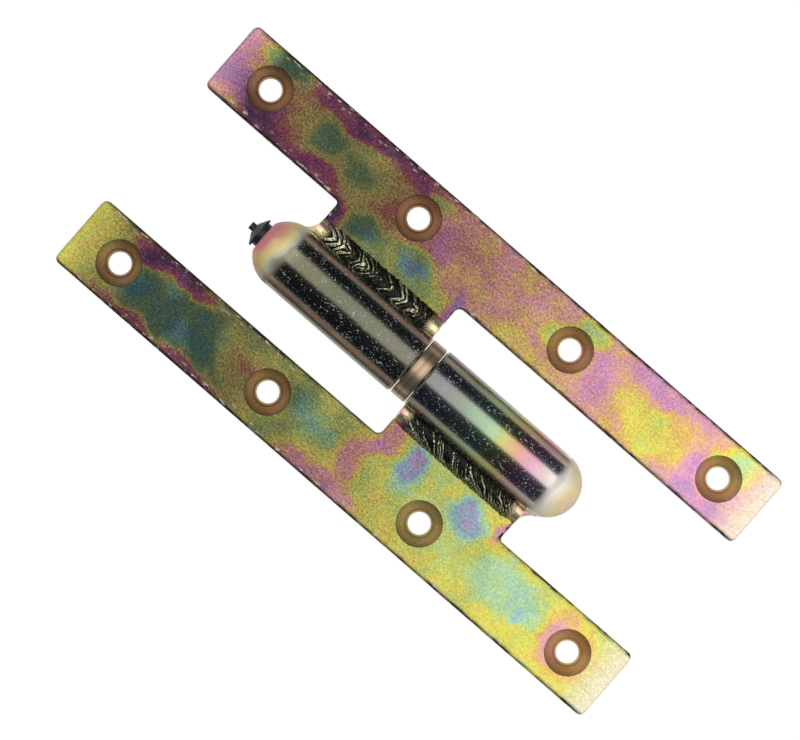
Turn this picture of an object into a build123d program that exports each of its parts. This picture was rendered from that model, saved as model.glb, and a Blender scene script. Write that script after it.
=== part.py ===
from build123d import *
import math
import os

# Weld-on barrel hinge of the lift-off kind: two equal halves on one pin. Each half is a T-shaped leaf whose tab is
# arc-welded to a half barrel. A brass bearing ring lies between the two barrels, and a grease plug closes the end
# of the door half's barrel. All sizes are in millimetres.
# Frame: the origin is the centre of the bearing ring, on the pin. +X runs along the pin, into the barrel that holds
# it, and +Z points out of the countersunk faces. The frame half's leaf lies at -Y, and the door half is the same
# half turned 180 degrees about Z.

# Driving dimensions: the barrels, the pin and the bearing ring
barrel_diameter = 16.0
barrel_length = 44.6  # one half's barrel, its domed end included
ring_step = 0.25  # how far the ring's side stays in from the barrels' side
ring_height = 4.0
ring_gap = 0.2  # axial play on each side of the bearing ring
pin_diameter = 9.0
pin_end_wall = 7.6  # from the pin's end to the end of the barrel round it
running_clearance = 0.05  # radial, between the pin and what turns on it
grease_room = 1.2  # free length beyond the pin in the door half's barrel
drill_angle = 118.0  # point angle of the drill that cuts the blind bores
barrel_chamfer = 0.5
pin_chamfer = 0.8
ring_chamfer = 0.3

# Driving dimensions: the leaves
leaf_length = 160.0
leaf_width = 18.4
sheet_thickness = 3.5
closed_gap = 3.0  # between the two leaves when the hinge is shut
leaf_reach = 9.15  # from the barrel's side to the strip's inner edge
tab_width = 36.5
tab_setback = 0.55  # from the barrel's ring end to the tab's side
root_gap = 1.4  # from the barrel's side to the end of the tab, filled by the weld
corner_radius = 1.5
tab_inner_fillet = 1.5
tab_outer_fillet = 1.0
edge_rounding = 0.6  # rolled edge that blanking leaves on the countersunk side

# Driving dimensions: the screw holes
screw_hole_diameter = 5.3
countersink_diameter = 10.8
inner_hole_spacing = 46.0
outer_hole_spacing = 136.0

# Driving dimensions: the weld beads
weld_leg = 3.0  # from the end of the tab to the bead's toe on the leaf
weld_rise = 0.4  # height of the bead's toe on the barrel above the pin's centre line
weld_crown = 1.1  # how far the bead stands out from the line between its toes
weld_flare = 3.6  # how far the bead runs on along the barrel past the tab
weld_stop = 2.4  # smooth length before the tab's outer side, where the bead was stopped
root_recess = 0.3  # how far the root of the weld stays in from the leaf's back
ripple_height = 0.22
ripple_lean = 0.65  # where each ripple's crest lies, as a part of the pitch
frame_ripple_pitch = 1.0
door_ripple_pitch = 1.3

# Driving dimensions: the grease hole and its plug
dome_cut = 1.1  # how much of the door barrel's dome is faced off for the plug
grease_hole_diameter = 4.0
plug_clearance = 0.05  # radial, so that the plug can be pulled
plug_neck_diameter = 6.0
plug_neck_height = 1.2
plug_rim_diameter = 7.3
plug_rim_height = 0.4
plug_cone_height = 1.3
plug_tip_diameter = 2.8
plug_nub_diameter = 1.9
plug_nub_height = 1.2
plug_stem_length = 5.0

# Derived places
barrel_radius = barrel_diameter / 2
pin_radius = pin_diameter / 2
pin_reach = barrel_length - pin_end_wall
barrel_start = ring_height / 2 + ring_gap
barrel_end = barrel_start + barrel_length
tab_near = barrel_start + tab_setback
tab_far = tab_near + tab_width
tab_end = barrel_radius + root_gap
strip_edge = barrel_radius + leaf_reach
hole_line = strip_edge + leaf_width / 2
leaf_top = -closed_gap / 2
leaf_back = leaf_top - sheet_thickness


# The frame half's leaf: a strip with one tab, rounded on its countersunk side, with four countersunk holes in line.
def make_leaf():
    strip = Pos(0, -hole_line) * RectangleRounded(leaf_length, leaf_width, corner_radius)
    tab_depth = hole_line - tab_end
    tab_centre = Pos((tab_near + tab_far) / 2, -(tab_end + hole_line) / 2)
    outline = strip + tab_centre * Rectangle(tab_width, tab_depth)
    for corner_x, radius in ((tab_near, tab_inner_fillet), (tab_far, tab_outer_fillet)):
        corner = outline.vertices().sort_by_distance((corner_x, -strip_edge))[0]
        outline = fillet(corner, radius)
    leaf = extrude(Pos(0, 0, leaf_back) * outline, sheet_thickness)
    rim = leaf.faces().sort_by(Axis.Z)[-1].outer_wire().edges()
    leaf = fillet(rim, edge_rounding)
    for spacing in (inner_hole_spacing, outer_hole_spacing):
        for side in (-1, 1):
            leaf -= Pos(side * spacing / 2, -hole_line, leaf_top) * screw_hole()
    return leaf


# What one screw hole takes away: a 90 degree countersink over a straight hole, with its mouth at z = 0.
def screw_hole():
    hole_radius = screw_hole_diameter / 2
    sink_radius = countersink_diameter / 2
    over = 0.5  # the cutter's length above the leaf
    depth = sink_radius - hole_radius + over
    cone = Pos(0, 0, over - depth / 2) * Cone(hole_radius, sink_radius + over, depth)
    return cone + Pos(0, 0, -sheet_thickness / 2) * Cylinder(hole_radius, 2 * sheet_thickness)


# A solid barrel on the X axis: a round bar from the ring end, with a domed end faced off by dome_cut.
def solid_barrel(faced_off):
    dome_centre = barrel_end + faced_off - barrel_radius
    flat_radius = math.sqrt(faced_off * (barrel_diameter - faced_off))
    across = barrel_radius * math.sqrt(0.5)
    ring_end = Polyline(
        (barrel_end, 0),
        (barrel_start, 0),
        (barrel_start, barrel_radius - barrel_chamfer),
        (barrel_start + barrel_chamfer, barrel_radius),
        (dome_centre, barrel_radius),
    )
    dome = ThreePointArc(
        (dome_centre, barrel_radius), (dome_centre + across, across), (barrel_end, flat_radius)
    )
    edges = [ring_end, dome]
    if flat_radius > 0:
        edges.append(Line((barrel_end, flat_radius), (barrel_end, 0)))
    return revolve(make_face(edges), Axis.X)


# What the drill takes away: a blind bore from the ring end with a drill point, its mouth broken by a chamfer.
def blind_bore(radius, depth):
    point = radius / math.tan(math.radians(drill_angle / 2))
    mouth = barrel_start
    outline = Polyline(
        (mouth, 0),
        (mouth, radius + barrel_chamfer),
        (mouth + barrel_chamfer, radius),
        (mouth + depth, radius),
        (mouth + depth + point, 0),
        close=True,
    )
    return revolve(make_face(outline), Axis.X)


# The barrel that the pin is pressed into.
def make_frame_barrel():
    return solid_barrel(0) - blind_bore(pin_radius, pin_reach)


# The barrel that turns on the pin, with room for grease beyond it and the grease hole in its faced-off dome.
def make_door_barrel():
    barrel = solid_barrel(dome_cut)
    barrel -= blind_bore(pin_radius + running_clearance, pin_reach + grease_room)
    grease_hole = Rot(0, 90, 0) * Cylinder(grease_hole_diameter / 2, barrel_length)
    return barrel - Pos(barrel_end, 0, 0) * grease_hole


# The weld of one half: a rippled bead lying in the corner between the leaf's top and the barrel, with its root
# filling the gap between them. Its section is a circle through both toes. It is turned as a round-ended bar on its
# own axis, each ripple a slow rise and a quick fall in the bar's outline, and then the barrel, the leaf and the
# root plane are cut away.
def make_weld(leaf, barrel, ripple_pitch):
    leaf_toe = Vector(tab_end + weld_leg, leaf_top)
    barrel_toe = Vector(math.sqrt(barrel_radius**2 - weld_rise**2), weld_rise)
    chord = leaf_toe - barrel_toe
    bead_radius = ((chord.length / 2) ** 2 + weld_crown**2) / (2 * weld_crown)
    outward = Vector(-chord.Y, chord.X).normalized()
    bead_axis = (leaf_toe + barrel_toe) * 0.5 - outward * (bead_radius - weld_crown)

    bar_end = tab_far + weld_flare
    ripples_from = tab_near + bead_radius
    ripples_to = tab_far - weld_stop
    count = round((ripples_to - ripples_from) / ripple_pitch)
    pitch = (ripples_to - ripples_from) / count
    crest = bead_radius + ripple_height
    edges = [Line((bar_end, 0), (tab_near, 0))]
    edges.append(CenterArc((ripples_from, 0), bead_radius, 90, 90))
    for ripple in range(count):
        x = ripples_from + ripple * pitch
        edges.append(Line((x, bead_radius), (x + ripple_lean * pitch, crest)))
        edges.append(Line((x + ripple_lean * pitch, crest), (x + pitch, bead_radius)))
    edges.append(Line((ripples_to, bead_radius), (bar_end - bead_radius, bead_radius)))
    edges.append(CenterArc((bar_end - bead_radius, 0), bead_radius, 0, 90))
    bar = revolve(make_face(edges), Axis.X)

    bead = Pos(0, -bead_axis.X, bead_axis.Y) * bar
    root_plane = leaf_back + root_recess
    below = Pos(barrel_end / 2, -tab_end, root_plane - barrel_radius)
    bead -= below * Box(2 * barrel_end, 4 * barrel_radius, 2 * barrel_radius)
    bead -= barrel
    bead -= leaf
    return max(bead.solids(), key=lambda solid: solid.volume)


# The pin: pressed into the frame half's barrel, free in the ring and in the door half's barrel.
def make_pin():
    half_length = barrel_start + pin_reach
    pin = Rot(0, 90, 0) * Cylinder(pin_radius, 2 * half_length)
    return chamfer(pin.edges().filter_by(GeomType.CIRCLE), pin_chamfer)


# The bearing ring that carries the door half's weight on the frame half.
def make_ring():
    ring = Cylinder(barrel_radius - ring_step, ring_height)
    outer = ring.edges().filter_by(GeomType.CIRCLE)
    ring = chamfer(outer, ring_chamfer)
    ring -= Cylinder(pin_radius + running_clearance, 2 * ring_height)
    return Rot(0, 90, 0) * ring


# The grease plug, outside the faced-off dome: neck, rim, cone and nub, with a stem in the grease hole.
def make_plug():
    stem_radius = grease_hole_diameter / 2 - plug_clearance
    neck = barrel_end + plug_neck_height
    rim = neck + plug_rim_height
    tip = rim + plug_cone_height
    nub = tip + plug_nub_height
    stem = barrel_end - plug_stem_length
    outline = Polyline(
        (stem, 0),
        (stem, stem_radius),
        (barrel_end, stem_radius),
        (barrel_end, plug_neck_diameter / 2),
        (neck, plug_neck_diameter / 2),
        (neck, plug_rim_diameter / 2),
        (rim, plug_rim_diameter / 2),
        (tip, plug_tip_diameter / 2),
        (tip, plug_nub_diameter / 2),
        (nub, plug_nub_diameter / 2),
        (nub, 0),
        close=True,
    )
    return revolve(make_face(outline), Axis.X)


leaf = make_leaf()
turned = Rot(0, 0, 180)
nodes = {
    "frame_leaf": leaf,
    "frame_barrel": make_frame_barrel(),
    "frame_weld": make_weld(leaf, solid_barrel(0), frame_ripple_pitch),
    "hinge_pin": make_pin(),
    "bearing_ring": make_ring(),
    "door_leaf": turned * leaf,
    "door_barrel": turned * make_door_barrel(),
    "door_weld": turned * make_weld(leaf, solid_barrel(dome_cut), door_ripple_pitch),
    "grease_plug": turned * make_plug(),
}

os.makedirs("parts", exist_ok=True)
for name, shape in nodes.items():
    export_step(shape, f"parts/{name}.step")
    size = shape.bounding_box().size
    print(f"{name}: {shape.volume:.1f} mm3, {size.X:.2f} x {size.Y:.2f} x {size.Z:.2f} mm")
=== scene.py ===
import math

import bpy
import numpy as np
from mathutils import Matrix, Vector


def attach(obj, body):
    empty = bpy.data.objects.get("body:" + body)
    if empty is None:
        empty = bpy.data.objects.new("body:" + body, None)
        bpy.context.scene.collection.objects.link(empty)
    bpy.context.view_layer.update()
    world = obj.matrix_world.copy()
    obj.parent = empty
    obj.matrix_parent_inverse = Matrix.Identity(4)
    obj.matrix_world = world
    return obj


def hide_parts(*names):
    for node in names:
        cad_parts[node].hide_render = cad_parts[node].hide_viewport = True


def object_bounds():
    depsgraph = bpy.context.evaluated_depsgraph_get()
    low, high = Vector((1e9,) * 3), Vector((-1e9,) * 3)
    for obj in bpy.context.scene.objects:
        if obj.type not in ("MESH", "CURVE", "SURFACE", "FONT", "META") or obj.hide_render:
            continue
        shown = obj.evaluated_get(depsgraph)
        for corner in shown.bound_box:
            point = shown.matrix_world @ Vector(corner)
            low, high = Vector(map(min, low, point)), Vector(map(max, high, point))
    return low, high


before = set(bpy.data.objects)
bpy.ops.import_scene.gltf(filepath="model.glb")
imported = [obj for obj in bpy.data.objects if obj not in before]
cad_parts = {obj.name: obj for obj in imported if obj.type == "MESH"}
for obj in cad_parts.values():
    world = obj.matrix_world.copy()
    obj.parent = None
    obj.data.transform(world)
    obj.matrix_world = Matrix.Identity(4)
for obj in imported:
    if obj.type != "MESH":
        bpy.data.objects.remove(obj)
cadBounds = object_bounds()
mm = 0.001
print("frame loaded:", ", ".join(sorted(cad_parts)))


def linear(hexColour):
    # sRGB hex to linear: each channel below 0.04045 over 12.92, above it ((c + 0.055) / 1.055) to the
    # power 2.4
    channels = [int(hexColour[i : i + 2], 16) / 255 for i in (1, 3, 5)]
    return [c / 12.92 if c < 0.04045 else ((c + 0.055) / 1.055) ** 2.4 for c in channels] + [1.0]


def addNode(tree, kind, values=None, links=None, **settings):
    # one node with its settings, its unlinked socket values and its incoming links
    node = tree.nodes.new(kind)
    for name, value in settings.items():
        setattr(node, name, value)
    for socket, value in (values or {}).items():
        node.inputs[socket].default_value = value
    for socket, source in (links or {}).items():
        tree.links.new(source, node.inputs[socket])
    return node


def newMaterial(name):
    material = bpy.data.materials.new(name)
    material.use_nodes = True
    material.node_tree.nodes.clear()
    return material, material.node_tree


def millimetres(tree):
    # object coordinates in millimetres
    place = addNode(tree, "ShaderNodeTexCoord")
    scaled = addNode(
        tree, "ShaderNodeVectorMath", {"Scale": 1000}, {0: place.outputs["Object"]}, operation="SCALE"
    )
    return scaled.outputs[0]


def setRamp(node, stops):
    # stops: a list of (place, sRGB hex)
    ramp = node.color_ramp
    while len(ramp.elements) > 1:
        ramp.elements.remove(ramp.elements[0])
    ramp.elements[0].position = stops[0][0]
    ramp.elements[0].color = linear(stops[0][1])
    for place, colour in stops[1:]:
        ramp.elements.new(place).color = linear(colour)


def wobble(tree, place, size, reach):
    # moves a place by noise: (noise colour - 0.5) times reach, in cells of size mm
    noise = addNode(tree, "ShaderNodeTexNoise", {"Scale": 1 / size, "Detail": 2.0}, {"Vector": place})
    centred = addNode(
        tree,
        "ShaderNodeVectorMath",
        {1: (0.5, 0.5, 0.5)},
        {0: noise.outputs["Color"]},
        operation="SUBTRACT",
    )
    moved = addNode(
        tree,
        "ShaderNodeVectorMath",
        {1: (reach, reach, reach)},
        {0: centred.outputs[0], 2: place},
        operation="MULTIPLY_ADD",
    )
    return moved.outputs[0]


def addPatch(tree, place, total, patch):
    # one soft oval of film: its amount falls from full at the centre to nothing at radii (rx, ry),
    # smoothly
    x, y, rx, ry, amount = patch
    offset = addNode(tree, "ShaderNodeVectorMath", {1: (x, y, 0)}, {0: place}, operation="SUBTRACT")
    flat = addNode(
        tree,
        "ShaderNodeVectorMath",
        {1: (1 / rx, 1 / ry, 0)},
        {0: offset.outputs[0]},
        operation="MULTIPLY",
    )
    reach = addNode(tree, "ShaderNodeVectorMath", links={0: flat.outputs[0]}, operation="LENGTH")
    fall = addNode(
        tree,
        "ShaderNodeMapRange",
        {"From Min": 1.0, "From Max": 0.35, "To Min": 0.0, "To Max": amount},
        {"Value": reach.outputs["Value"]},
        interpolation_type="SMOOTHSTEP",
    )
    summed = addNode(tree, "ShaderNodeMath", links={0: total, 1: fall.outputs[0]}, operation="ADD")
    return summed.outputs[0]


def noiseAmount(tree, place, size, detail, low, high, stretch=(1, 1, 1)):
    # noise in cells of size mm, stretched, spread from low to high
    scaled = addNode(tree, "ShaderNodeVectorMath", {1: stretch}, {0: place}, operation="MULTIPLY")
    noise = addNode(
        tree, "ShaderNodeTexNoise", {"Scale": 1 / size, "Detail": detail}, {"Vector": scaled.outputs[0]}
    )
    spread = addNode(
        tree,
        "ShaderNodeMapRange",
        {"From Min": 0.3, "From Max": 0.7, "To Min": low, "To Max": high},
        {"Value": noise.outputs["Fac"]},
    )
    return spread.outputs[0]


# Rainbow of the chromate film, thin to thick, in a dark dense set and a pale set; the pale set is partly
# the film's own pale tints and partly painted highlight
filmOrder = (0.0, 0.12, 0.25, 0.37, 0.49, 0.6, 0.72, 0.84, 0.93, 1.0)
deepFilm = (
    "#361d33",
    "#5a2644",
    "#643530",
    "#6a5a32",
    "#605e34",
    "#434b30",
    "#344732",
    "#27403e",
    "#273a49",
    "#3b3647",
)
paleFilm = (
    "#bf92bc",
    "#d898b6",
    "#e4aa9c",
    "#e4bb66",
    "#e2d75a",
    "#ccd876",
    "#bcdca0",
    "#a6d0bc",
    "#a4b8cc",
    "#b9a6c4",
)

# What may be changed on the leaves: film patches as (x, y, reach along x, reach along y, amount), in mm
frameLeafLook = {
    "tabMiddle": 20.0,
    "baseFilm": 0.52,
    "roughness": 0.42,
    "patches": [
        (-76, -26, 6, 14, -0.05),
        (-57, -18.8, 17, 4.2, -0.52),
        (-50, -27, 22, 9, 0.2),
        (-62, -27, 6, 6, 0.14),
        (-45, -30, 9, 5, 0.1),
        (-50, -35, 30, 2.4, -0.32),
        (-31, -26, 7, 8, -0.2),
        (-13, -25, 9, 6, 0.2),
        (-7, -26, 4, 4, 0.12),
        (-2, -34, 15, 5, -0.36),
        (1, -24, 6, 10, -0.3),
        (5, -16, 4, 6, -0.3),
        (20, -13, 14, 4, 0.1),
        (13, -18, 5, 8, 0.45),
        (31, -17, 7, 5, 0.42),
        (38.5, -14, 2.5, 6, -0.3),
        (24, -25, 14, 8, 0.1),
        (47, -25, 14, 8, 0.22),
        (57, -27, 5, 3.5, 0.2),
        (67, -26, 10, 9.5, -0.34),
        (68, -26, 6.5, 6.5, 0.2),
    ],
}
doorLeafLook = {
    "tabMiddle": -20.0,
    "baseFilm": 0.28,
    "roughness": 0.42,
    "patches": [
        (-70, 22, 14, 7, -0.22),
        (-68, 33.5, 9, 4, 0.42),
        (-78, 27, 4, 9, -0.12),
        (-46, 27, 20, 7.5, 0.2),
        (-50, 27, 8, 5, 0.14),
        (-40, 25, 7, 5, 0.12),
        (-42, 33.8, 28, 3.4, -0.2),
        (-54, 18.8, 18, 4, -0.18),
        (-33, 19.5, 8, 4, 0.15),
        (-21, 33.5, 5, 2.5, 0.35),
        (-20, 13, 20, 8, 0.34),
        (-30, 16, 5, 4, 0.24),
        (-17, 18, 6, 5, 0.34),
        (-38, 15, 4, 6, -0.3),
        (-3.5, 15, 3, 6, -0.3),
        (-14, 26, 5, 7, -0.12),
        (12, 20, 10, 4, 0.14),
        (24, 31.5, 6, 4, 0.3),
        (17.5, 27, 3, 5, 0.25),
        (33, 26, 6, 9, -0.17),
        (49, 25, 14, 6.5, 0.22),
        (48, 33.5, 17, 3.6, -0.18),
        (62, 24, 3.5, 8, -0.18),
        (46, 18.5, 13, 3, 0.08),
        (69, 31, 9, 6, 0.4),
        (68, 20, 10, 4, -0.22),
    ],
}
holeLook = {
    "line": 26.35,
    "middle": 45.5,
    "half": 22.5,
    "bore": 2.6,
    "sink": 5.45,
    "rings": [
        (0.0, "#e2c9a0"),
        (0.12, "#cfae84"),
        (0.2, "#6b4a30"),
        (0.42, "#b88c60"),
        (0.75, "#a57d54"),
        (0.92, "#7a5838"),
        (1.0, "#2e2418"),
    ],
}
stripLook = {"inner": 17.15, "outer": 35.55, "tabHalf": 18.6}

# What may be changed on both sheets: where along the leaf the painted highlight pales the film, where the
# leaf turns paler again towards -X, where the painted highlight all but whitens the +X end, its grain,
# the painted shade and rubbed tone at its edges, and the film's own drift as (cell size, amount)
sheetLook = {
    "paleFrom": -32.0,
    "paleTo": 66.0,
    "farPaleFrom": -69.0,
    "farPaleTo": -79.0,
    "farPale": 0.6,
    "endHighlightFrom": 70.0,
    "endHighlightTo": 80.5,
    "endHighlightColour": "#ece2cc",
    "grainSize": 0.5,
    "denseGrain": 1.2,
    "paleGrain": 0.2,
    "edgeShade": "#232016",
    "rubbedEdge": "#b3a69c",
    "metallic": 0.75,
    "drifts": ((6.0, 0.08), (1.7, 0.045), (0.5, 0.035)),
}


def makeLeafMaterial(name, look):
    # Blanked sheet steel, zinc plated and yellow chromated: a grainy metal that shifts from gold to
    # green and purple with the thickness of its film, paled towards +X by painted highlight, with
    # painted shade and rubbed scratches at the edges.
    material, tree = newMaterial(name)
    place = millimetres(tree)
    drifted = wobble(tree, wobble(tree, place, 11.0, 9.0), 3.0, 3.0)
    base = addNode(tree, "ShaderNodeValue")
    base.outputs[0].default_value = look["baseFilm"]
    film = base.outputs[0]
    for patch in look["patches"]:
        film = addPatch(tree, drifted, film, patch)
    for size, reach in sheetLook["drifts"]:
        drift = noiseAmount(tree, place, size, 2.0, -reach, reach)
        film = addNode(tree, "ShaderNodeMath", links={0: film, 1: drift}, operation="ADD").outputs[0]
    deep = addNode(tree, "ShaderNodeValToRGB", links={"Fac": film})
    setRamp(deep, list(zip(filmOrder, deepFilm)))
    pale = addNode(tree, "ShaderNodeValToRGB", links={"Fac": film})
    setRamp(pale, list(zip(filmOrder, paleFilm)))

    axes = addNode(tree, "ShaderNodeSeparateXYZ", links={0: place})
    # painted highlight: the film pales along x, from paleFrom to paleTo
    along = addNode(
        tree,
        "ShaderNodeMapRange",
        {"From Min": sheetLook["paleFrom"], "From Max": sheetLook["paleTo"]},
        {"Value": axes.outputs["X"]},
    )
    paleDrift = noiseAmount(tree, place, 9.0, 2.0, -0.1, 0.1)
    # the leaf turns paler again towards the -X end
    farEnd = addNode(
        tree,
        "ShaderNodeMapRange",
        {
            "From Min": sheetLook["farPaleFrom"],
            "From Max": sheetLook["farPaleTo"],
            "To Max": sheetLook["farPale"],
        },
        {"Value": axes.outputs["X"]},
    )
    endDrift = addNode(
        tree, "ShaderNodeMath", links={0: farEnd.outputs[0], 1: paleDrift}, operation="ADD"
    )
    paleness = addNode(
        tree,
        "ShaderNodeMath",
        links={0: along.outputs[0], 1: endDrift.outputs[0]},
        operation="ADD",
        use_clamp=True,
    )
    blend = addNode(
        tree,
        "ShaderNodeMix",
        links={0: paleness.outputs[0], 6: deep.outputs[0], 7: pale.outputs[0]},
        data_type="RGBA",
    )

    # painted highlight: the leaf's +X end all but whitened
    endReach = addNode(
        tree,
        "ShaderNodeMapRange",
        {"From Min": sheetLook["endHighlightFrom"], "From Max": sheetLook["endHighlightTo"], "To Max": 0.85},
        {"Value": axes.outputs["X"]},
        interpolation_type="SMOOTHSTEP",
    )
    endHighlighted = addNode(
        tree,
        "ShaderNodeMix",
        {7: linear(sheetLook["endHighlightColour"])},
        {0: endReach.outputs[0], 6: blend.outputs[2]},
        data_type="RGBA",
    )

    # grain: each grain of the etched surface is lighter or darker than its neighbours, most where the
    # film is dense and dark, least where the painted highlight pales it
    grainNoise = noiseAmount(tree, place, sheetLook["grainSize"], 3.0, -0.5, 0.5)
    grainReach = addNode(
        tree,
        "ShaderNodeMapRange",
        {"To Min": sheetLook["denseGrain"], "To Max": sheetLook["paleGrain"]},
        {"Value": paleness.outputs[0]},
    )
    grain = addNode(
        tree,
        "ShaderNodeMath",
        {2: 0.96},
        {0: grainNoise, 1: grainReach.outputs[0]},
        operation="MULTIPLY_ADD",
    )
    grained = addNode(
        tree,
        "ShaderNodeVectorMath",
        links={0: endHighlighted.outputs[2], 1: grain.outputs[0]},
        operation="MULTIPLY",
    )

    # painted shade: dark broken lines along the strip's sides, standing in for the shade on its edges;
    # then rubbed bright scratches beside them
    side = addNode(tree, "ShaderNodeMath", links={0: axes.outputs["Y"]}, operation="ABSOLUTE")
    fromTab = addNode(
        tree, "ShaderNodeMath", {1: look["tabMiddle"]}, {0: axes.outputs["X"]}, operation="SUBTRACT"
    )
    tabReach = addNode(tree, "ShaderNodeMath", links={0: fromTab.outputs[0]}, operation="ABSOLUTE")
    clearOfTab = addNode(
        tree,
        "ShaderNodeMath",
        {1: stripLook["tabHalf"]},
        {0: tabReach.outputs[0]},
        operation="GREATER_THAN",
    )
    toOuter = addNode(
        tree, "ShaderNodeMath", {0: stripLook["outer"]}, {1: side.outputs[0]}, operation="SUBTRACT"
    )
    toInner = addNode(
        tree, "ShaderNodeMath", {1: stripLook["inner"]}, {0: side.outputs[0]}, operation="SUBTRACT"
    )
    innerOnly = addNode(
        tree,
        "ShaderNodeMix",
        {2: 9.0},
        {0: clearOfTab.outputs[0], 3: toInner.outputs[0]},
        data_type="FLOAT",
    )
    toEdge = addNode(
        tree,
        "ShaderNodeMath",
        links={0: toOuter.outputs[0], 1: innerOnly.outputs[0]},
        operation="MINIMUM",
    )
    lineReach = addNode(
        tree,
        "ShaderNodeMapRange",
        {"From Min": 1.1, "From Max": 0.35, "To Min": 0.0, "To Max": 1.0},
        {"Value": toEdge.outputs[0]},
    )
    broken = noiseAmount(tree, place, 1.2, 4.0, 0.0, 1.3, stretch=(0.3, 1, 1))
    edgeShade = addNode(
        tree,
        "ShaderNodeMath",
        links={0: lineReach.outputs[0], 1: broken},
        operation="MULTIPLY",
        use_clamp=True,
    )
    # the painted shade along the edges laid over the grained film
    edgeShaded = addNode(
        tree,
        "ShaderNodeMix",
        {7: linear(sheetLook["edgeShade"])},
        {0: edgeShade.outputs[0], 6: grained.outputs[0]},
        data_type="RGBA",
    )
    rubReach = addNode(
        tree,
        "ShaderNodeMapRange",
        {"From Min": 2.6, "From Max": 0.8, "To Min": 0.0, "To Max": 1.0},
        {"Value": toEdge.outputs[0]},
    )
    rubs = noiseAmount(tree, place, 0.7, 4.0, -2.4, 1.1, stretch=(0.35, 1, 1))
    rubbed = addNode(
        tree,
        "ShaderNodeMath",
        links={0: rubReach.outputs[0], 1: rubs},
        operation="MULTIPLY",
        use_clamp=True,
    )
    scratched = addNode(
        tree,
        "ShaderNodeMix",
        {7: linear(sheetLook["rubbedEdge"])},
        {0: rubbed.outputs[0], 6: edgeShaded.outputs[2]},
        data_type="RGBA",
    )

    # the countersinks, turned in rings: distance from the nearest of the four holes
    fromMiddle = addNode(tree, "ShaderNodeMath", links={0: axes.outputs["X"]}, operation="ABSOLUTE")
    fromPair = addNode(
        tree, "ShaderNodeMath", {1: holeLook["middle"]}, {0: fromMiddle.outputs[0]}, operation="SUBTRACT"
    )
    pairSide = addNode(tree, "ShaderNodeMath", links={0: fromPair.outputs[0]}, operation="ABSOLUTE")
    fromHole = addNode(
        tree, "ShaderNodeMath", {1: holeLook["half"]}, {0: pairSide.outputs[0]}, operation="SUBTRACT"
    )
    fromLine = addNode(
        tree, "ShaderNodeMath", {1: holeLook["line"]}, {0: side.outputs[0]}, operation="SUBTRACT"
    )
    across = addNode(tree, "ShaderNodeCombineXYZ", links={0: fromHole.outputs[0], 1: fromLine.outputs[0]})
    radius = addNode(tree, "ShaderNodeVectorMath", links={0: across.outputs[0]}, operation="LENGTH")
    inSink = addNode(
        tree, "ShaderNodeMath", {1: holeLook["sink"]}, {0: radius.outputs["Value"]}, operation="LESS_THAN"
    )
    sinkRing = addNode(
        tree,
        "ShaderNodeMapRange",
        {"From Min": holeLook["bore"], "From Max": holeLook["sink"]},
        {"Value": radius.outputs["Value"]},
    )
    sinkRamp = addNode(tree, "ShaderNodeValToRGB", links={"Fac": sinkRing.outputs[0]})
    setRamp(sinkRamp, holeLook["rings"])
    turned = addNode(
        tree,
        "ShaderNodeVectorMath",
        {1: (1 / 0.16, 0, 0)},
        {0: radius.outputs["Value"]},
        operation="MULTIPLY",
    )
    turnNoise = noiseAmount(tree, turned.outputs[0], 1.0, 2.0, 0.6, 1.45)
    sinkFilm = addNode(
        tree,
        "ShaderNodeMix",
        {0: 0.35},
        {6: sinkRamp.outputs[0], 7: scratched.outputs[2]},
        data_type="RGBA",
    )
    sinkTone = addNode(
        tree, "ShaderNodeVectorMath", links={0: sinkFilm.outputs[2], 1: turnNoise}, operation="MULTIPLY"
    )
    colour = addNode(
        tree,
        "ShaderNodeMix",
        links={0: inSink.outputs[0], 6: scratched.outputs[2], 7: sinkTone.outputs[0]},
        data_type="RGBA",
    )

    rough = noiseAmount(tree, place, 0.6, 3.0, look["roughness"] - 0.1, look["roughness"] + 0.12)
    relief = noiseAmount(tree, place, 0.45, 3.0, 0.0, 1.0)
    bump = addNode(tree, "ShaderNodeBump", {"Strength": 0.5, "Distance": 0.03 * mm}, {"Height": relief})
    shader = addNode(
        tree,
        "ShaderNodeBsdfPrincipled",
        {"Metallic": sheetLook["metallic"]},
        {"Base Color": colour.outputs[2], "Roughness": rough, "Normal": bump.outputs[0]},
    )
    addNode(tree, "ShaderNodeOutputMaterial", links={"Surface": shader.outputs[0]})
    return material


# What may be changed on the barrels: where the satin end begins and where the painted highlight lines
# along the sides lie, in mm, and the tints along the pin as (mm from the ring, sRGB hex)
barrelLook = {
    "endFrom": 38.6, "endTo": 40.6, "highlightLineAt": 6.3, "highlightLineHalf": 0.9, "markColour": "#b9bcb8", "reach": 50.0
}
doorBarrelLook = {
    "tints": [
        (0, "#696658"), (8, "#676657"), (25, "#5e604d"), (36, "#66644f"), (39.5, "#8f8b74"),
        (41, "#c9c6b0"), (42.5, "#e4d68c"), (44.5, "#e0b484"), (46.5, "#c87f7e"),
    ],
    "sideHighlights": ("#c77f94", "#dcb274"),
    "roughness": 0.22,
}
frameBarrelLook = {
    "tints": [
        (0, "#6d6b66"), (7, "#7a7775"), (13, "#7c8674"), (21, "#8da884"), (25, "#a8a662"),
        (29, "#b78a72"),
        (33, "#b8889a"),
        (37, "#b9a9a6"),
        (39.5, "#d8cfc4"),
        (41, "#f4ecde"),
        (44, "#ecdca4"),
        (47, "#e0a8a2"),
    ],
    "sideHighlights": ("#cfd09a", "#dcc6a0"),
    "roughness": 0.22,
}


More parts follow.
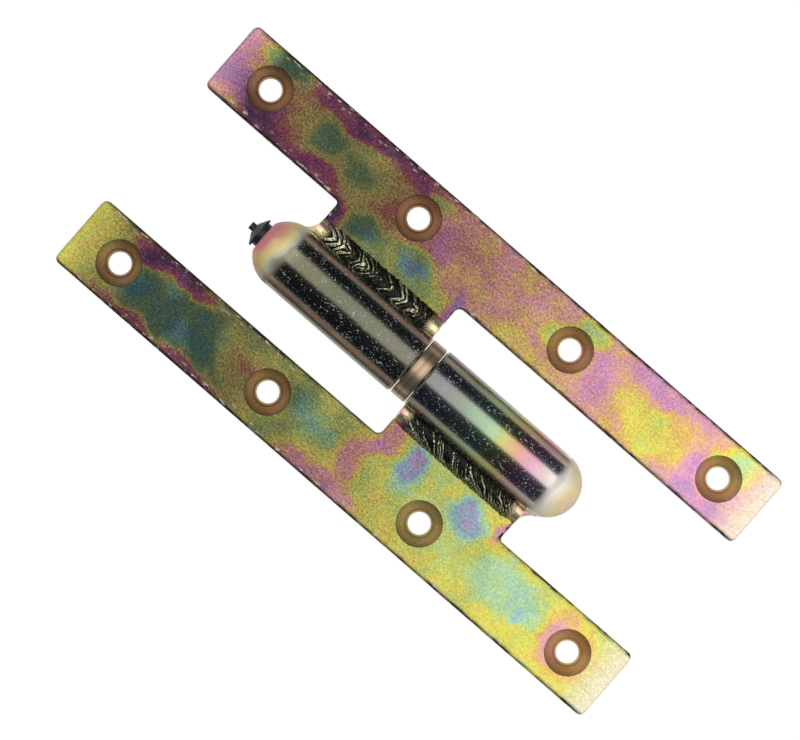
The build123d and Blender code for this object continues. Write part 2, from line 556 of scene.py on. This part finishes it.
def makeBarrelMaterial(name, look, direction):
    # Drawn and turned bar, zinc plated and chromated: a glossy dark metal whose film changes tint along
    # the barrel, with two painted highlight lines along its sides (satin there), pits and short
    # scratches, and a satin turned end
    material, tree = newMaterial(name)
    place = millimetres(tree)
    axes = addNode(tree, "ShaderNodeSeparateXYZ", links={0: place})
    drifted = wobble(tree, place, 7.0, 7.0)
    driftedAxes = addNode(tree, "ShaderNodeSeparateXYZ", links={0: drifted})
    along = addNode(
        tree,
        "ShaderNodeMapRange",
        {"From Max": direction * barrelLook["reach"]},
        {"Value": driftedAxes.outputs["X"]},
    )
    ramp = addNode(tree, "ShaderNodeValToRGB", links={"Fac": along.outputs[0]})
    setRamp(ramp, [(at / barrelLook["reach"], colour) for at, colour in look["tints"]])
    onEnd = addNode(
        tree,
        "ShaderNodeMapRange",
        {"From Min": direction * barrelLook["endFrom"], "From Max": direction * barrelLook["endTo"]},
        {"Value": axes.outputs["X"]},
        interpolation_type="SMOOTHSTEP",
    )

    # painted highlight: a tinted line along each side, fullest at the line's distance from the pin's
    # middle plane, gone at its half width either side, broken along the barrel
    side = addNode(tree, "ShaderNodeMath", links={0: axes.outputs["Y"]}, operation="ABSOLUTE")
    fromLine = addNode(
        tree, "ShaderNodeMath", {1: barrelLook["highlightLineAt"]}, {0: side.outputs[0]}, operation="SUBTRACT"
    )
    lineReach = addNode(tree, "ShaderNodeMath", links={0: fromLine.outputs[0]}, operation="ABSOLUTE")
    highlightFall = addNode(
        tree,
        "ShaderNodeMapRange",
        {"From Min": barrelLook["highlightLineHalf"], "From Max": 0.1, "To Max": 0.6},
        {"Value": lineReach.outputs[0]},
    )
    broken = noiseAmount(tree, place, 3.0, 3.0, 0.35, 1.0, stretch=(0.35, 1, 1))
    line = addNode(
        tree,
        "ShaderNodeMath",
        links={0: highlightFall.outputs[0], 1: broken},
        operation="MULTIPLY",
        use_clamp=True,
    )
    highlightTint = noiseAmount(tree, place, 6.0, 2.0, 0.0, 1.0, stretch=(0.5, 1, 1))
    highlightColour = addNode(
        tree,
        "ShaderNodeMix",
        {6: linear(look["sideHighlights"][0]), 7: linear(look["sideHighlights"][1])},
        {0: highlightTint},
        data_type="RGBA",
    )
    # the painted highlight lines laid over the film's tints
    highlighted = addNode(
        tree,
        "ShaderNodeMix",
        links={0: line.outputs[0], 6: ramp.outputs[0], 7: highlightColour.outputs[2]},
        data_type="RGBA",
    )

    # pits and short scratches: the few highest values of a fine noise and of a drawn-out one
    pits = noiseAmount(tree, place, 0.42, 2.0, -19.0, 1.9)
    scratches = noiseAmount(
        tree, wobble(tree, place, 2.0, 3.0), 0.5, 2.0, -19.0, 1.9, stretch=(0.3, 1, 1)
    )
    marks = addNode(
        tree, "ShaderNodeMath", links={0: pits, 1: scratches}, operation="MAXIMUM", use_clamp=True
    )
    offEnd = addNode(
        tree, "ShaderNodeMapRange", {"To Min": 0.75, "To Max": 0.1}, {"Value": onEnd.outputs[0]}
    )
    markTone = addNode(
        tree, "ShaderNodeMath", links={0: marks.outputs[0], 1: offEnd.outputs[0]}, operation="MULTIPLY"
    )
    colour = addNode(
        tree,
        "ShaderNodeMix",
        {7: linear(barrelLook["markColour"])},
        {0: markTone.outputs[0], 6: highlighted.outputs[2]},
        data_type="RGBA",
    )
    plain = addNode(
        tree, "ShaderNodeMath", links={0: line.outputs[0], 1: markTone.outputs[0]}, operation="MAXIMUM"
    )
    plainEnd = addNode(tree, "ShaderNodeMath", {1: 0.7}, {0: onEnd.outputs[0]}, operation="MULTIPLY")
    satin = addNode(
        tree, "ShaderNodeMath", links={0: plain.outputs[0], 1: plainEnd.outputs[0]}, operation="MAXIMUM"
    )
    metal = addNode(
        tree, "ShaderNodeMapRange", {"To Min": 1.0, "To Max": 0.1}, {"Value": satin.outputs[0]}
    )
    rough = addNode(
        tree,
        "ShaderNodeMapRange",
        {"To Min": look["roughness"], "To Max": 0.7},
        {"Value": satin.outputs[0]},
    )
    relief = noiseAmount(tree, place, 2.5, 3.0, 0.0, 1.0, stretch=(0.4, 1, 1))
    bump = addNode(tree, "ShaderNodeBump", {"Strength": 0.25, "Distance": 0.02 * mm}, {"Height": relief})
    shader = addNode(
        tree,
        "ShaderNodeBsdfPrincipled",
        links={
            "Base Color": colour.outputs[2],
            "Metallic": metal.outputs[0],
            "Roughness": rough.outputs[0],
            "Normal": bump.outputs[0],
        },
    )
    addNode(tree, "ShaderNodeOutputMaterial", links={"Surface": shader.outputs[0]})
    return material


def makeBrassMaterial():
    # Turned brass: warm, satin, with fine rings round the pin
    material, tree = newMaterial("turned brass")
    place = millimetres(tree)
    rings = noiseAmount(tree, place, 0.3, 2.0, 0.0, 1.0, stretch=(1, 0.02, 0.02))
    ramp = addNode(tree, "ShaderNodeValToRGB", links={"Fac": rings})
    setRamp(ramp, [(0.0, "#927b5c"), (1.0, "#b8a284")])
    bump = addNode(tree, "ShaderNodeBump", {"Strength": 0.3, "Distance": 0.01 * mm}, {"Height": rings})
    shader = addNode(
        tree,
        "ShaderNodeBsdfPrincipled",
        {"Metallic": 0.9, "Roughness": 0.34},
        {"Base Color": ramp.outputs[0], "Normal": bump.outputs[0]},
    )
    addNode(tree, "ShaderNodeOutputMaterial", links={"Surface": shader.outputs[0]})
    return material


def makeWeldMaterial():
    # Arc-welded steel, plated with the rest: dark, with painted highlights on the ripples' crests
    material, tree = newMaterial("arc weld")
    place = millimetres(tree)
    # painted highlight: the ripples' crests, from the crest height worked out with the bead
    height = addNode(tree, "ShaderNodeAttribute", attribute_name="crestGlint")
    drift = noiseAmount(tree, place, 0.5, 3.0, -0.3, 0.3)
    tone = addNode(
        tree,
        "ShaderNodeMath",
        links={0: height.outputs["Fac"], 1: drift},
        operation="ADD",
        use_clamp=True,
    )
    ramp = addNode(tree, "ShaderNodeValToRGB", links={"Fac": tone.outputs[0]})
    setRamp(ramp, [(0.0, "#121315"), (0.62, "#24241d"), (0.8, "#5f5f44"), (1.0, "#d6d3ac")])
    start = addNode(tree, "ShaderNodeAttribute", attribute_name="smoothEnd")
    film = noiseAmount(tree, place, 2.5, 2.0, 0.0, 1.0)
    endRamp = addNode(tree, "ShaderNodeValToRGB", links={"Fac": film})
    setRamp(endRamp, [(0.0, "#c98f9a"), (0.5, "#e0cf9c"), (1.0, "#d9d59a")])
    colour = addNode(
        tree,
        "ShaderNodeMix",
        links={0: start.outputs["Fac"], 6: ramp.outputs[0], 7: endRamp.outputs[0]},
        data_type="RGBA",
    )
    shader = addNode(
        tree,
        "ShaderNodeBsdfPrincipled",
        {"Metallic": 0.85, "Roughness": 0.3},
        {"Base Color": colour.outputs[2]},
    )
    addNode(tree, "ShaderNodeOutputMaterial", links={"Surface": shader.outputs[0]})
    return material


def makePlugMaterial():
    # Moulded black plastic, slightly blue, matt
    material, tree = newMaterial("moulded black plastic")
    place = millimetres(tree)
    tone = noiseAmount(tree, place, 1.2, 3.0, 0.0, 1.0)
    ramp = addNode(tree, "ShaderNodeValToRGB", links={"Fac": tone})
    setRamp(ramp, [(0.0, "#0b0d14"), (1.0, "#1d222c")])
    shader = addNode(
        tree, "ShaderNodeBsdfPrincipled", {"Roughness": 0.5}, {"Base Color": ramp.outputs[0]}
    )
    addNode(tree, "ShaderNodeOutputMaterial", links={"Surface": shader.outputs[0]})
    return material


def makeSteelMaterial():
    # Ground steel: grey with fine marks along the grind
    material, tree = newMaterial("ground steel")
    place = millimetres(tree)
    marks = noiseAmount(tree, place, 0.3, 2.0, 0.0, 1.0, stretch=(1, 0.05, 0.05))
    ramp = addNode(tree, "ShaderNodeValToRGB", links={"Fac": marks})
    setRamp(ramp, [(0.0, "#8f9092"), (1.0, "#b5b6b8")])
    shader = addNode(
        tree,
        "ShaderNodeBsdfPrincipled",
        {"Metallic": 1.0, "Roughness": 0.28},
        {"Base Color": ramp.outputs[0]},
    )
    addNode(tree, "ShaderNodeOutputMaterial", links={"Surface": shader.outputs[0]})
    return material


def dress(node, material):
    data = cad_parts[node].data
    data.materials.clear()
    data.materials.append(material)


dress("frame_leaf", makeLeafMaterial("chromated sheet, frame half", frameLeafLook))
dress("door_leaf", makeLeafMaterial("chromated sheet, door half", doorLeafLook))
dress("frame_barrel", makeBarrelMaterial("chromated bar, frame half", frameBarrelLook, 1))
dress("door_barrel", makeBarrelMaterial("chromated bar, door half", doorBarrelLook, -1))
dress("bearing_ring", makeBrassMaterial())
dress("hinge_pin", makeSteelMaterial())
dress("grease_plug", makePlugMaterial())
weldMaterial = makeWeldMaterial()
dress("frame_weld", weldMaterial)
dress("door_weld", weldMaterial)
print("materials done")

# What may be changed on the weld beads, in mm. Places along the bead are measured from the ring, across
# it from the toe on the barrel; chevron and slant say how far a ripple trails along the bead for each
# mm across.
weldLook = {
    "centre": (9.376, -2.451),
    "heart": (7.5, -1.4),
    "radius": 3.17,
    "leafToe": 17.5,
    "barrelToe": 115.9,
    "barrelRadius": 8.0,
    "leafEnd": 9.4,
    "leafTop": -1.5,
    "root": -4.7,
    "sunk": 0.15,
    "from": 2.6,
    "tabSide": 39.25,
    "to": 42.85,
    "rippleFrom": 5.2,
    "rippleTo": 36.8,
}
# tone scales the painted highlight on the crests at the barrel's toe, the middle and the leaf's toe
frameWeldLook = {
    "pitch": 0.95,
    "height": 0.2,
    "chevron": 0.0,
    "bend": 2.2,
    "slant": 0.75,
    "tone": (0.6, 1.0, 2.2),
    "seed": 5,
}
doorWeldLook = {
    "pitch": 1.45,
    "height": 0.26,
    "chevron": 0.9,
    "bend": 2.2,
    "slant": 0.0,
    "tone": (1.0, 1.05, 1.0),
    "seed": 11,
}


def smoothRandom(count, spacing, seed):
    # seeded random values every spacing steps, joined by straight lines: one value for each of count
    # steps
    marks = np.random.default_rng(seed).uniform(-1, 1, count // spacing + 3)
    return np.interp(np.arange(count) / spacing, np.arange(len(marks)), marks)


def weldSection(steps):
    # one turn round the bead as (distance from the pin, height): an arc from the leaf's toe over the
    # crown to the barrel's toe, then just inside the barrel, across the root, and just inside the leaf
    # back to its toe
    look = weldLook
    angle = np.radians(np.linspace(look["leafToe"], look["barrelToe"], steps))
    top = np.stack(
        (
            look["centre"][0] + look["radius"] * np.cos(angle),
            look["centre"][1] + look["radius"] * np.sin(angle),
        ),
        1,
    )
    inside = look["barrelRadius"] - look["sunk"]
    down = np.arange(1, 9) / 8
    turn = np.arcsin(top[-1, 1] / inside) * (1 - down) + np.arcsin(look["root"] / inside) * down
    barrelSide = np.stack((inside * np.cos(turn), inside * np.sin(turn)), 1)
    leafIn = look["leafEnd"] + look["sunk"]
    under = look["leafTop"] - look["sunk"]
    corners = np.array(
        ((barrelSide[-1, 0], look["root"]), (leafIn, look["root"]), (leafIn, under), (top[0, 0], under))
    )
    rest = np.concatenate(
        [a + (b - a) * np.arange(1, 5)[:, None] / 5 for a, b in zip(corners[:-1], corners[1:])]
    )
    return top, np.concatenate((barrelSide, rest))


def makeWeld(name, body, node, look, sign):
    # the bead: the section above carried along the pin, its crown lifted by ripples. At place p along
    # its pitch a ripple stands out by height times (0.75 times its own strength times sin(pi p^1.6),
    # plus 0.4 times the same of a set twice as fine). It trails by chevron times the distance from the
    # bead's middle plus slant / 1.5 times the distance from the barrel's toe to the power 1.35, and the
    # trail sways along the bead. The toe on the leaf waves outwards, and each end closes on a point
    # inside the barrel.
    alongSteps, crownSteps = 760, 46
    x = np.linspace(weldLook["from"], weldLook["to"], alongSteps)
    top, rest = weldSection(crownSteps)
    across = np.linspace(1, 0, crownSteps) * weldLook["radius"] * math.radians(
        weldLook["barrelToe"] - weldLook["leafToe"]
    )
    drift = smoothRandom(alongSteps, 26, look["seed"]) * 0.6
    sway = 1 + 0.4 * smoothRandom(alongSteps, 34, look["seed"] + 4)
    trail = look["chevron"] * np.abs(across - look["bend"]) + look["slant"] * across**1.35 / 1.5
    phase = (x[:, None] + drift[:, None] - trail[None, :] * sway[:, None]) / look["pitch"]
    count = np.floor(phase).astype(int)
    strength = np.random.default_rng(look["seed"] + 1).uniform(0.25, 1.3, 400)[count % 400]
    place = phase - count
    fine = np.sin(np.pi * np.mod(phase * 2.0 + 0.4 * drift[:, None], 1.0) ** 1.6)
    hump = 0.75 * np.sin(np.pi * place**1.6) * strength + 0.4 * fine
    rise = np.clip((x - weldLook["rippleFrom"] + 1) / 2, 0, 1) * np.clip(
        (weldLook["rippleTo"] + 1 - x) / 2, 0, 1
    )
    rough = np.random.default_rng(look["seed"] + 2).normal(
        0, 1, (alongSteps // 5 + 2, crownSteps // 3 + 2)
    )
    rough = np.kron(rough, np.ones((5, 3)))[:alongSteps, :crownSteps]
    lift = look["height"] * hump * rise[:, None] + 0.035 * rough * rise[:, None]
    sag = 0.25 * (1 - rise)  # the smooth ends lie a little lower
    toeWave = 0.12 * (1 + smoothRandom(alongSteps, 9, look["seed"] + 3))
    lift = lift + toeWave[:, None] * np.clip(1 - np.arange(crownSteps) / 9, 0, 1)
    outward = (top - np.array(weldLook["centre"])) / weldLook["radius"]
    crown = top[None] + outward[None] * (lift - sag[:, None])[..., None]
    under = np.broadcast_to(rest, (alongSteps,) + rest.shape)
    ring = np.concatenate((crown, under), 1)
    # ends: a blunt start beside the ring, and past the tab a hollow sweep down to the barrel
    startPart = np.clip((x - weldLook["from"]) / 1.0, 0, 1)
    startScale = (1 - (1 - startPart) ** 4) ** 0.25
    endPart = np.clip((x - weldLook["tabSide"]) / (weldLook["to"] - weldLook["tabSide"]), 0, 1)
    endScale = 1 - np.sqrt(1 - (1 - endPart) ** 2)
    scale = startScale * endScale
    heart = np.array(weldLook["heart"])
    ring = heart + (ring - heart) * scale[:, None, None]
    points = np.empty(ring.shape[:2] + (3,))
    points[..., 0] = x[:, None]
    points[..., 1] = -ring[..., 0]
    points[..., 2] = ring[..., 1]
    points[..., :2] *= sign
    # painted highlight on the ripple crests: their height times tone
    crestGlint = np.zeros(ring.shape[:2])
    tone = np.interp(across / across[0], (0, 0.5, 1), look["tone"])
    crestGlint[:, :crownSteps] = np.clip(hump * tone, 0, 1) * rise[:, None]
    smoothEnd = np.broadcast_to(1 - rise[:, None], ring.shape[:2])
    piece = closedTube(name, points * mm, {"crestGlint": crestGlint, "smoothEnd": smoothEnd})
    piece.data.materials.append(weldMaterial)
    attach(piece, body)
    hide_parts(node)


def closedTube(name, points, attributes):
    # a grid of rings joined into a tube, with a point at each end, turned outwards if its volume comes
    # out negative
    rings, around = points.shape[:2]
    vertices = np.concatenate((points.reshape(-1, 3), points[0].mean(0)[None], points[-1].mean(0)[None]))
    i, j = np.meshgrid(np.arange(rings - 1), np.arange(around), indexing="ij")
    after = (j + 1) % around
    quads = np.stack(
        (i * around + j, (i + 1) * around + j, (i + 1) * around + after, i * around + after), -1
    ).reshape(-1, 4)
    k = np.arange(around)
    first, last = rings * around, rings * around + 1
    startFan = np.stack((np.full(around, first), k, (k + 1) % around), 1)
    base = (rings - 1) * around
    endFan = np.stack((np.full(around, last), base + (k + 1) % around, base + k), 1)
    triangles = np.concatenate((quads[:, (0, 1, 2)], quads[:, (0, 2, 3)], startFan, endFan))
    a, b, c = (vertices[triangles[:, n]] for n in range(3))
    if np.einsum("ij,ij->i", a, np.cross(b, c)).sum() < 0:
        quads, startFan, endFan = quads[:, ::-1], startFan[:, ::-1], endFan[:, ::-1]
    mesh = bpy.data.meshes.new(name)
    mesh.from_pydata(vertices.tolist(), [], quads.tolist() + startFan.tolist() + endFan.tolist())
    mesh.polygons.foreach_set("use_smooth", np.ones(len(mesh.polygons), bool))
    for title, values in attributes.items():
        layer = mesh.attributes.new(title, "FLOAT", "POINT")
        ends = (values[0].mean(), values[-1].mean())
        layer.data.foreach_set("value", np.append(values.ravel(), ends).astype(np.float32))
    mesh.update()
    piece = bpy.data.objects.new(name, mesh)
    bpy.context.scene.collection.objects.link(piece)
    return piece


makeWeld("frame_weld_bead", "frame_half", "frame_weld", frameWeldLook, 1)
makeWeld("door_weld_bead", "door_half", "door_weld", doorWeldLook, -1)
print("weld beads done")

# Studio: a white table, one wide soft lamp over the door half's side, and a lamp low at each end
studioLook = {
    "tableReach": 12.0,
    "tableGlow": 1.06,
    "tableMix": 0.9,
    "mainTilt": 12.0,
    "mainDistance": 1.4,
    "mainSize": (1.6, 1.35),
    "mainWatts": 12.0,
    "endDistance": 1.2,
    "endRise": 0.62,
    "endSize": (1.5, 2.0),
    "rightShare": 1.3,
    "endWatts": 8.0,
    "ceiling": "#343c50",
}


def makeTable():
    # a flat square just under the barrels, white to the eye and to reflections, that keeps a soft shadow
    low = cadBounds[0][2] - 0.02 * mm
    reach = studioLook["tableReach"]
    corners = [(-reach, -reach, low), (reach, -reach, low), (reach, reach, low), (-reach, reach, low)]
    mesh = bpy.data.meshes.new("table")
    mesh.from_pydata(corners, [], [(0, 1, 2, 3)])
    table = bpy.data.objects.new("table", mesh)
    bpy.context.scene.collection.objects.link(table)
    material, tree = newMaterial("white card")
    rays = addNode(tree, "ShaderNodeLightPath")
    glossy = addNode(
        tree,
        "ShaderNodeMath",
        links={0: rays.outputs["Is Camera Ray"], 1: rays.outputs["Is Glossy Ray"]},
        operation="MAXIMUM",
    )
    seen = addNode(
        tree,
        "ShaderNodeMath",
        links={0: glossy.outputs[0], 1: rays.outputs["Is Transmission Ray"]},
        operation="MAXIMUM",
    )
    lit = addNode(
        tree, "ShaderNodeMath", {1: studioLook["tableGlow"]}, {0: seen.outputs[0]}, operation="MULTIPLY"
    )
    glow = addNode(tree, "ShaderNodeEmission", {"Color": linear("#ffffff")}, {"Strength": lit.outputs[0]})
    card = addNode(tree, "ShaderNodeBsdfDiffuse", {"Color": linear("#f7f7f7")})
    both = addNode(
        tree, "ShaderNodeMixShader", {0: studioLook["tableMix"]}, {1: card.outputs[0], 2: glow.outputs[0]}
    )
    addNode(tree, "ShaderNodeOutputMaterial", links={"Surface": both.outputs[0]})
    mesh.materials.append(material)


def addLamp(name, distance, towards, size, watts):
    # a rectangular soft lamp at a distance, in the direction towards, facing the hinge
    lamp = bpy.data.lights.new(name, "AREA")
    lamp.shape = "RECTANGLE"
    lamp.size, lamp.size_y = size
    lamp.energy = watts
    holder = bpy.data.objects.new(name, lamp)
    direction = np.array(towards) / np.linalg.norm(towards)
    z = direction
    x = np.cross((0, 1, 0), z)
    x = x / np.linalg.norm(x)
    y = np.cross(z, x)
    matrix = np.identity(4)
    matrix[:3] = np.stack((x, y, z, direction * distance), 1)
    holder.matrix_world = Matrix(matrix.tolist())
    bpy.context.scene.collection.objects.link(holder)


makeTable()
tilt = math.radians(studioLook["mainTilt"])
mainDirection = (0, math.sin(tilt), math.cos(tilt))
addLamp(
    "main lamp",
    studioLook["mainDistance"],
    mainDirection,
    studioLook["mainSize"],
    studioLook["mainWatts"],
)
for title, side, share in (("end lamp left", -1, 1.0), ("end lamp right", 1, studioLook["rightShare"])):
    endDirection = (side, 0, studioLook["endRise"])
    endWatts = studioLook["endWatts"] * share
    addLamp(title, studioLook["endDistance"], endDirection, studioLook["endSize"], endWatts)

world = bpy.data.worlds.new("studio")
bpy.context.scene.world = world
world.use_nodes = True
worldTree = world.node_tree
worldTree.nodes.clear()
rays = addNode(worldTree, "ShaderNodeLightPath")
skyPlace = addNode(worldTree, "ShaderNodeTexCoord")
skyAxes = addNode(worldTree, "ShaderNodeSeparateXYZ", links={0: skyPlace.outputs["Generated"]})
below = addNode(
    worldTree, "ShaderNodeMapRange", {"From Min": 0.05, "From Max": 0.0}, {"Value": skyAxes.outputs["Z"]}
)
seenWhite = addNode(
    worldTree,
    "ShaderNodeMath",
    links={0: below.outputs[0], 1: rays.outputs["Is Camera Ray"]},
    operation="MAXIMUM",
)
skyColour = addNode(
    worldTree,
    "ShaderNodeMix",
    {6: linear(studioLook["ceiling"]), 7: linear("#ffffff")},
    {0: seenWhite.outputs[0]},
    data_type="RGBA",
)
sky = addNode(worldTree, "ShaderNodeBackground", links={"Color": skyColour.outputs[2]})
addNode(worldTree, "ShaderNodeOutputWorld", links={"Surface": sky.outputs[0]})

# Camera: straight above, turned so that the pin runs down to the right
cameraLook = {"height": 0.9, "turn": 41.0, "viewWidth": 182.8, "right": -4.34, "up": 0.23}
camera = bpy.data.objects.new("camera", bpy.data.cameras.new("camera"))
turn = math.radians(cameraLook["turn"])
camera.data.sensor_width = 36.0
camera.data.lens = 36.0 * cameraLook["height"] / (cameraLook["viewWidth"] * mm)
camera.data.clip_end = 100.0
right = np.array((math.cos(turn), math.sin(turn), 0))
up = np.array((-math.sin(turn), math.cos(turn), 0))
aim = (right * cameraLook["right"] + up * cameraLook["up"]) * mm
camera.location = (aim[0], aim[1], cameraLook["height"])
camera.rotation_euler = (0, 0, turn)
bpy.context.scene.collection.objects.link(camera)
bpy.context.scene.camera = camera
bpy.context.scene.view_settings.view_transform = "Standard"
print("studio done")
